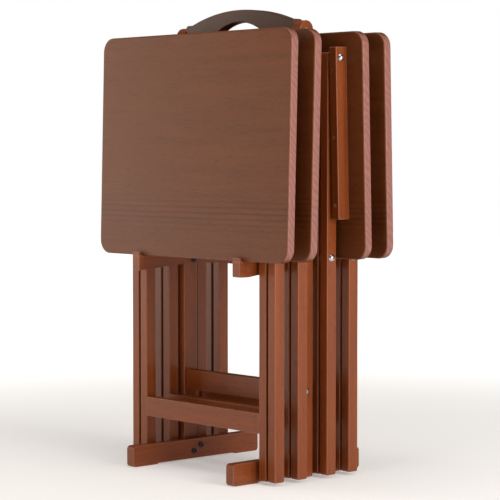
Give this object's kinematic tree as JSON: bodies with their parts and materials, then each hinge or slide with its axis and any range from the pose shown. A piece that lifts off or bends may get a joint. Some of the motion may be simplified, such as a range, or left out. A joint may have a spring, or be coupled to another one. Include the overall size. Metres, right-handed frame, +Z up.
{
  "type": "folding tray table set",
  "caption": "Folding wooden tray tables hung flat on a carrying stand with an arched grip handle, feet and side arms.",
  "frame": {"origin": "middle of the footprint, on the floor", "axes": "+X along the handle and the trays' long side, -Y towards the front table, +Z up"},
  "size_m": [0.483, 0.288, 0.782],
  "materials": {
    "tray_wood": "satin walnut stain",
    "stained_wood": "satin walnut stain",
    "bright_steel": "polished zinc",
    "black_steel": "black oxide"
  },
  "bodies": {
    "stand": {"stand_foot_left": "stained_wood", "stand_foot_right": "stained_wood", "stand_post_left": "stained_wood", "stand_post_right": "stained_wood", "stand_arm_left": "stained_wood", "stand_arm_right": "stained_wood", "stand_lower_rail": "stained_wood", "stand_handle": "stained_wood", "stand_arm_lips": "stained_wood", "stand_foot_bolts": "black_steel", "stand_arm_bolts": "black_steel", "stand_post_bolts": "bright_steel"},
    "table_1_tray": {"table_1_tray": "tray_wood", "table_1_cleat_left": "stained_wood", "table_1_cleat_right": "stained_wood", "table_1_catch_blocks": "stained_wood", "table_1_tray_screws": "bright_steel"},
    "table_1_outer_frame": {"table_1_outer_leg_left": "stained_wood", "table_1_outer_leg_right": "stained_wood", "table_1_leg_bolts": "bright_steel"},
    "table_1_inner_frame": {"table_1_inner_leg_left": "stained_wood", "table_1_inner_leg_right": "stained_wood", "table_1_lower_bar": "stained_wood", "table_1_top_bar": "stained_wood"},
    "table_2_tray": {"table_2_tray": "tray_wood", "table_2_cleat_left": "stained_wood", "table_2_cleat_right": "stained_wood", "table_2_catch_blocks": "stained_wood", "table_2_tray_screws": "bright_steel"},
    "table_2_outer_frame": {"table_2_outer_leg_left": "stained_wood", "table_2_outer_leg_right": "stained_wood", "table_2_leg_bolts": "bright_steel"},
    "table_2_inner_frame": {"table_2_inner_leg_left": "stained_wood", "table_2_inner_leg_right": "stained_wood", "table_2_lower_bar": "stained_wood", "table_2_top_bar": "stained_wood"},
    "table_3_tray": {"table_3_tray": "tray_wood", "table_3_cleat_left": "stained_wood", "table_3_cleat_right": "stained_wood", "table_3_catch_blocks": "stained_wood", "table_3_tray_screws": "bright_steel"},
    "table_3_outer_frame": {"table_3_outer_leg_left": "stained_wood", "table_3_outer_leg_right": "stained_wood", "table_3_leg_bolts": "bright_steel"},
    "table_3_inner_frame": {"table_3_inner_leg_left": "stained_wood", "table_3_inner_leg_right": "stained_wood", "table_3_lower_bar": "stained_wood", "table_3_top_bar": "stained_wood"},
    "table_4_tray": {"table_4_tray": "tray_wood", "table_4_cleat_left": "stained_wood", "table_4_cleat_right": "stained_wood", "table_4_catch_blocks": "stained_wood", "table_4_tray_screws": "bright_steel"},
    "table_4_outer_frame": {"table_4_outer_leg_left": "stained_wood", "table_4_outer_leg_right": "stained_wood", "table_4_leg_bolts": "bright_steel"},
    "table_4_inner_frame": {"table_4_inner_leg_left": "stained_wood", "table_4_inner_leg_right": "stained_wood", "table_4_lower_bar": "stained_wood", "table_4_top_bar": "stained_wood"}
  },
  "joints": [
    {"name": "table_1_lift_out", "type": "slide", "parent": "stand", "child": "table_1_outer_frame", "axis": [0, -0.2588, 0.9659], "range_m": [0, 0.75]},
    {"name": "table_1_tray_tilt", "type": "hinge", "parent": "table_1_outer_frame", "child": "table_1_tray", "pos_m": [0, -0.084, 0.6954], "axis": [-1, 0, 0], "range_deg": [0, 100]},
    {"name": "table_1_leg_scissor", "type": "hinge", "parent": "table_1_outer_frame", "child": "table_1_inner_frame", "pos_m": [0, -0.084, 0.3665], "axis": [1, 0, 0], "range_deg": [0, 44.6]},
    {"name": "table_2_lift", "type": "slide", "parent": "stand", "child": "table_2_outer_frame", "axis": [0, 0, 1], "range_m": [0, 0.2]},
    {"name": "table_2_tray_tilt", "type": "hinge", "parent": "table_2_outer_frame", "child": "table_2_tray", "pos_m": [0, -0.033, 0.6954], "axis": [-1, 0, 0], "range_deg": [0, 100]},
    {"name": "table_2_leg_scissor", "type": "hinge", "parent": "table_2_outer_frame", "child": "table_2_inner_frame", "pos_m": [0, -0.033, 0.3665], "axis": [1, 0, 0], "range_deg": [0, 44.6]},
    {"name": "table_3_lift", "type": "slide", "parent": "stand", "child": "table_3_outer_frame", "axis": [0, 0, 1], "range_m": [0, 0.2]},
    {"name": "table_3_tray_tilt", "type": "hinge", "parent": "table_3_outer_frame", "child": "table_3_tray", "pos_m": [0, 0.033, 0.6954], "axis": [1, 0, 0], "range_deg": [0, 100]},
    {"name": "table_3_leg_scissor", "type": "hinge", "parent": "table_3_outer_frame", "child": "table_3_inner_frame", "pos_m": [0, 0.033, 0.3665], "axis": [-1, 0, 0], "range_deg": [0, 44.6]},
    {"name": "table_4_lift_out", "type": "slide", "parent": "stand", "child": "table_4_outer_frame", "axis": [0, 0.2588, 0.9659], "range_m": [0, 0.75]},
    {"name": "table_4_tray_tilt", "type": "hinge", "parent": "table_4_outer_frame", "child": "table_4_tray", "pos_m": [0, 0.084, 0.6954], "axis": [1, 0, 0], "range_deg": [0, 100]},
    {"name": "table_4_leg_scissor", "type": "hinge", "parent": "table_4_outer_frame", "child": "table_4_inner_frame", "pos_m": [0, 0.084, 0.3665], "axis": [-1, 0, 0], "range_deg": [0, 44.6]}
  ],
  "couplings": [
    {"joint": "table_1_tray_tilt", "follows": "table_1_lift_out", "rad_per_m": 2.327},
    {"joint": "table_1_leg_scissor", "follows": "table_1_lift_out", "rad_per_m": 0.0058},
    {"joint": "table_2_tray_tilt", "follows": "table_2_lift", "rad_per_m": 0.0349},
    {"joint": "table_2_leg_scissor", "follows": "table_2_lift", "rad_per_m": 0.0087},
    {"joint": "table_3_tray_tilt", "follows": "table_3_lift", "rad_per_m": 0.0349},
    {"joint": "table_3_leg_scissor", "follows": "table_3_lift", "rad_per_m": 0.0087},
    {"joint": "table_4_tray_tilt", "follows": "table_4_lift_out", "rad_per_m": 2.327},
    {"joint": "table_4_leg_scissor", "follows": "table_4_lift_out", "rad_per_m": 0.0058}
  ]
}
